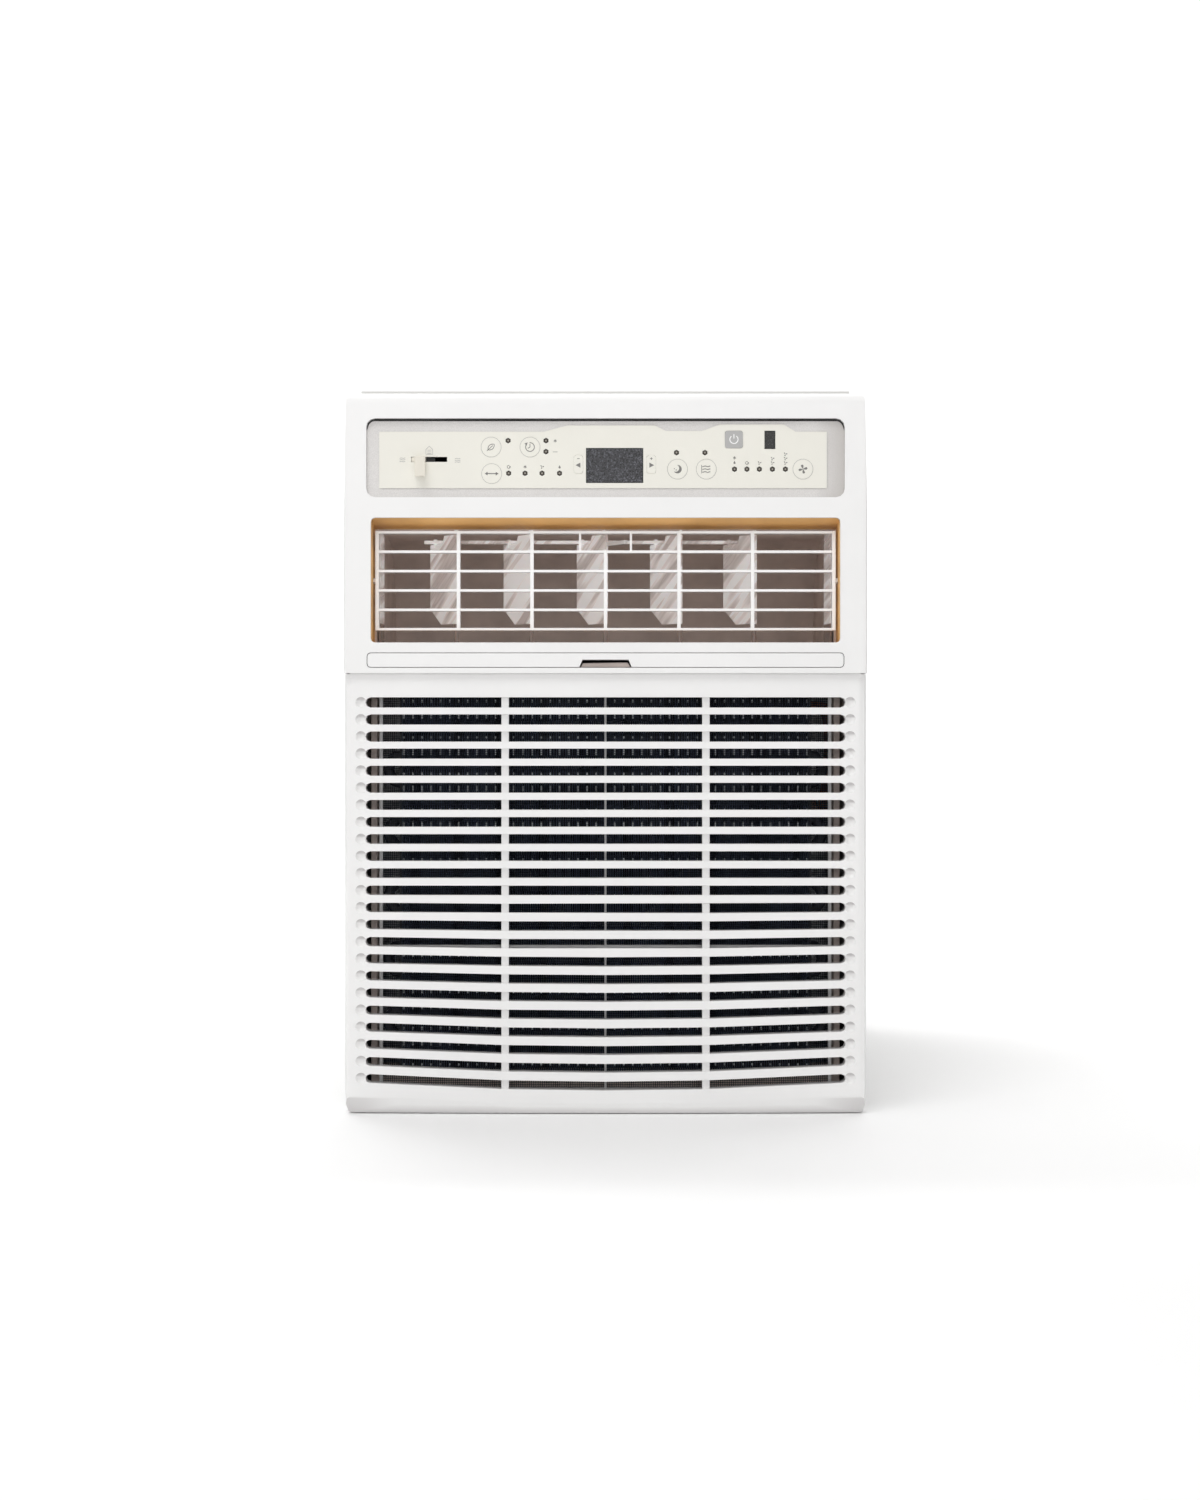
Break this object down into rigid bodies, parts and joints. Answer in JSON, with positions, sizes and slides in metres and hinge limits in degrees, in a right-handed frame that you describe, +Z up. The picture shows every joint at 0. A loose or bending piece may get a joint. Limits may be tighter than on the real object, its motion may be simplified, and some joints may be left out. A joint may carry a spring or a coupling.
{
  "type": "window air conditioner",
  "caption": "Tall narrow window air conditioner: slotted intake, tilting air grid with turning vanes, recessed control panel and a deep sheet-metal cabinet with its cooling works inside.",
  "frame": {"origin": "centre of the footprint, on the surface the base pan stands on", "axes": "+Z up, -Y towards the room (front), +X to the right of a person facing the front"},
  "size_m": [0.37, 0.545, 0.519],
  "materials": {
    "white_plastic": "fine satin grain",
    "bezel_plastic": "fine satin grain",
    "cream_film": "printed film",
    "smoked_window": "smoked, polished",
    "circuit_board": "solder resist",
    "ochre_plastic": "satin",
    "duct_foam": "closed-cell foam",
    "scroll_foam": "expanded foam",
    "vane_plastic": "translucent satin",
    "filter_net": "woven net",
    "painted_steel": "powder coat",
    "zinc_steel": "zinc coated",
    "coil_fins": "thin fins",
    "black_plastic": "moulded",
    "black_enamel": "semi gloss enamel",
    "copper_tube": "drawn copper",
    "black_rubber": "moulded"
  },
  "bodies": {
    "housing": {"front_panel": "white_plastic", "intake_grille": "white_plastic", "control_bezel": "bezel_plastic", "control_overlay": "cream_film", "display_window": "smoked_window", "infrared_window": "smoked_window", "control_board": "circuit_board", "outlet_liner": "ochre_plastic", "air_duct": "duct_foam", "drain_pan": "duct_foam", "blower_scroll": "scroll_foam", "cabinet_wrapper": "painted_steel", "rear_grille": "painted_steel", "top_rail": "painted_steel", "base_pan": "zinc_steel", "bulkhead": "zinc_steel", "motor_bracket": "zinc_steel", "electrical_box": "zinc_steel", "fan_motor": "zinc_steel", "swing_motor": "zinc_steel", "evaporator_end_left": "zinc_steel", "evaporator_end_right": "zinc_steel", "condenser_end_left": "zinc_steel", "condenser_end_right": "zinc_steel", "run_capacitor": "zinc_steel", "evaporator_fins": "coil_fins", "condenser_fins": "coil_fins", "fan_shroud": "black_plastic", "compressor": "black_enamel", "accumulator": "black_enamel", "suction_line": "copper_tube", "discharge_line": "copper_tube", "capillary_line": "copper_tube", "cord_bush": "black_rubber"},
    "vent_control": {"vent_lever": "cream_film", "vent_rod": "zinc_steel", "vent_shutter": "white_plastic"},
    "louvre": {"louvre_grid": "white_plastic"},
    "link_bar": {"vane_link_bar": "vane_plastic"},
    "filter": {"filter_frame": "white_plastic", "filter_mesh": "filter_net"},
    "handle": {"filter_handle": "white_plastic"},
    "rotor": {"motor_shaft": "zinc_steel", "blower_wheel": "black_plastic", "condenser_fan": "black_plastic"},
    "vane_1_body": {"vane_1": "vane_plastic"},
    "vane_2_body": {"vane_2": "vane_plastic"},
    "vane_3_body": {"vane_3": "vane_plastic", "vane_lever": "white_plastic"},
    "vane_4_body": {"vane_4": "vane_plastic"},
    "vane_5_body": {"vane_5": "vane_plastic"},
    "key_eco_body": {"key_eco": "cream_film"},
    "key_timer_body": {"key_timer": "cream_film"},
    "key_mode_body": {"key_mode": "cream_film"},
    "key_sleep_body": {"key_sleep": "cream_film"},
    "key_swing_body": {"key_swing": "cream_film"},
    "key_fan_body": {"key_fan": "cream_film"},
    "key_power_body": {"key_power": "bezel_plastic"},
    "key_temp_down_body": {"key_temp_down": "cream_film"},
    "key_temp_up_body": {"key_temp_up": "cream_film"}
  },
  "joints": [
    {"name": "key_eco_press", "type": "slide", "parent": "housing", "child": "key_eco_body", "axis": [0, 1, 0], "range_m": [0, 0.0005], "stiffness_N_per_m": 200},
    {"name": "key_timer_press", "type": "slide", "parent": "housing", "child": "key_timer_body", "axis": [0, 1, 0], "range_m": [0, 0.0005], "stiffness_N_per_m": 200},
    {"name": "key_mode_press", "type": "slide", "parent": "housing", "child": "key_mode_body", "axis": [0, 1, 0], "range_m": [0, 0.0005], "stiffness_N_per_m": 200},
    {"name": "key_sleep_press", "type": "slide", "parent": "housing", "child": "key_sleep_body", "axis": [0, 1, 0], "range_m": [0, 0.0005], "stiffness_N_per_m": 200},
    {"name": "key_swing_press", "type": "slide", "parent": "housing", "child": "key_swing_body", "axis": [0, 1, 0], "range_m": [0, 0.0005], "stiffness_N_per_m": 200},
    {"name": "key_fan_press", "type": "slide", "parent": "housing", "child": "key_fan_body", "axis": [0, 1, 0], "range_m": [0, 0.0005], "stiffness_N_per_m": 200},
    {"name": "key_power_press", "type": "slide", "parent": "housing", "child": "key_power_body", "axis": [0, 1, 0], "range_m": [0, 0.0005], "stiffness_N_per_m": 200},
    {"name": "key_temp_down_press", "type": "slide", "parent": "housing", "child": "key_temp_down_body", "axis": [0, 1, 0], "range_m": [0, 0.0005], "stiffness_N_per_m": 200},
    {"name": "key_temp_up_press", "type": "slide", "parent": "housing", "child": "key_temp_up_body", "axis": [0, 1, 0], "range_m": [0, 0.0005], "stiffness_N_per_m": 200},
    {"name": "louvre_tilt", "type": "hinge", "parent": "housing", "child": "louvre", "pos_m": [0, -0.2515, 0.3784], "axis": [1, 0, 0], "range_deg": [-15, 15]},
    {"name": "vane_1_turn", "type": "hinge", "parent": "housing", "child": "vane_1_body", "pos_m": [-0.1076, -0.2275, 0.3795], "axis": [0, 0, 1], "range_deg": [-76, 0]},
    {"name": "vane_2_turn", "type": "hinge", "parent": "housing", "child": "vane_2_body", "pos_m": [-0.0538, -0.2275, 0.3795], "axis": [0, 0, 1], "range_deg": [-76, 0]},
    {"name": "vane_3_turn", "type": "hinge", "parent": "housing", "child": "vane_3_body", "pos_m": [0, -0.2275, 0.3795], "axis": [0, 0, 1], "range_deg": [-76, 0]},
    {"name": "vane_4_turn", "type": "hinge", "parent": "housing", "child": "vane_4_body", "pos_m": [0.0538, -0.2275, 0.3795], "axis": [0, 0, 1], "range_deg": [-76, 0]},
    {"name": "vane_5_turn", "type": "hinge", "parent": "housing", "child": "vane_5_body", "pos_m": [0.1076, -0.2275, 0.3795], "axis": [0, 0, 1], "range_deg": [-76, 0]},
    {"name": "link_bar_turn", "type": "hinge", "parent": "vane_1_body", "child": "link_bar", "pos_m": [-0.12453, -0.20583, 0.41], "axis": [0, 0, 1], "range_deg": [0, 76]},
    {"name": "vent_slide", "type": "slide", "parent": "housing", "child": "vent_control", "axis": [1, 0, 0], "range_m": [0, 0.015]},
    {"name": "handle_pull", "type": "slide", "parent": "housing", "child": "handle", "axis": [0, -1, 0], "range_m": [0, 0.014]},
    {"name": "filter_rise", "type": "slide", "parent": "housing", "child": "filter", "axis": [0, 0, 1], "range_m": [0, 0.014]},
    {"name": "rotor_spin", "type": "hinge", "parent": "housing", "child": "rotor", "pos_m": [0, 0, 0.188], "axis": [0, 1, 0], "continuous": true}
  ],
  "couplings": [
    {"joint": "vane_2_turn", "follows": "vane_1_turn", "ratio": 1},
    {"joint": "vane_3_turn", "follows": "vane_1_turn", "ratio": 1},
    {"joint": "vane_4_turn", "follows": "vane_1_turn", "ratio": 1},
    {"joint": "vane_5_turn", "follows": "vane_1_turn", "ratio": 1},
    {"joint": "link_bar_turn", "follows": "vane_1_turn", "ratio": -1},
    {"joint": "filter_rise", "follows": "handle_pull", "ratio": 1}
  ]
}
